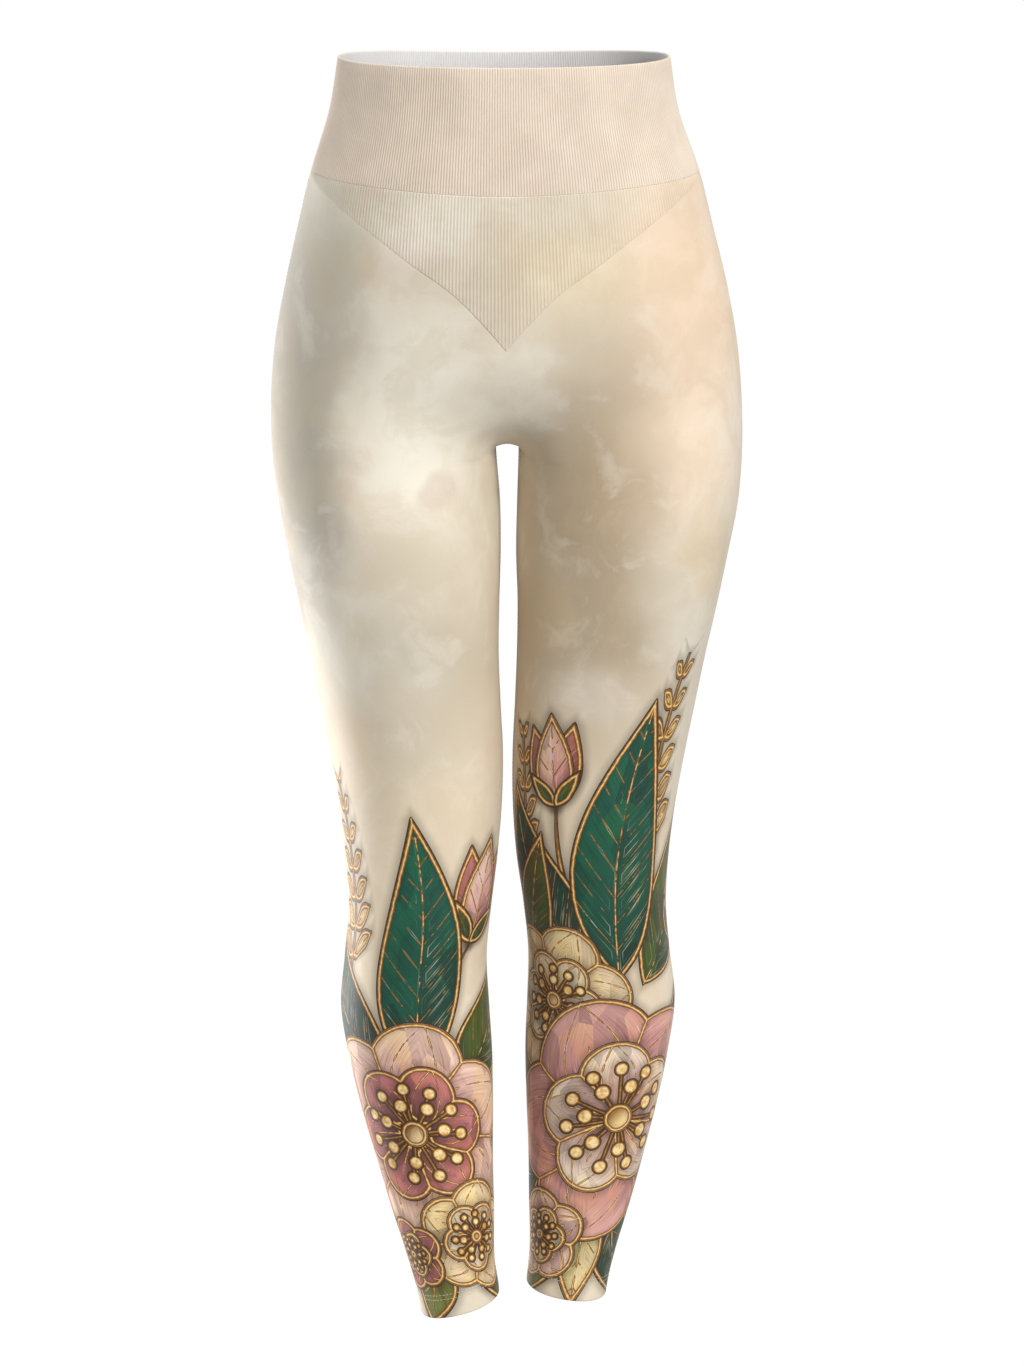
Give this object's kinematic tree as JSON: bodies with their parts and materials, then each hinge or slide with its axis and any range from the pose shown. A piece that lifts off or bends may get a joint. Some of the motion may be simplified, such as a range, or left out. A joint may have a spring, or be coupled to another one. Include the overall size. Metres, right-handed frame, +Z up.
{
  "type": "high-waisted leggings",
  "caption": "High-waisted full-length jersey leggings with a deep ribbed waistband, a V-shaped rib yoke and a crotch gusset, held filled out with no wearer.",
  "frame": {"origin": "the middle of the waist opening, level with its rim at the sides, where the wearer's waist holds the part", "axes": "+Z up out of the waist opening, the front faces -Y, +X is the side of the wearer's left leg"},
  "size_m": [0.3538, 0.2352, 0.9664],
  "materials": {
    "rib_knit": "fine vertical rib knit, matt, plain beige on the waistband and lightly printed on the yoke",
    "printed_jersey": "fine stretch jersey with a soft sheen, printed cream and peach with a large botanical design below the knees"
  },
  "bodies": {
    "root": {"waistband": "rib_knit", "rib_yoke": "rib_knit", "front_left": "printed_jersey", "front_right": "printed_jersey", "back_left": "printed_jersey", "back_right": "printed_jersey", "gusset": "printed_jersey"}
  },
  "joints": []
}
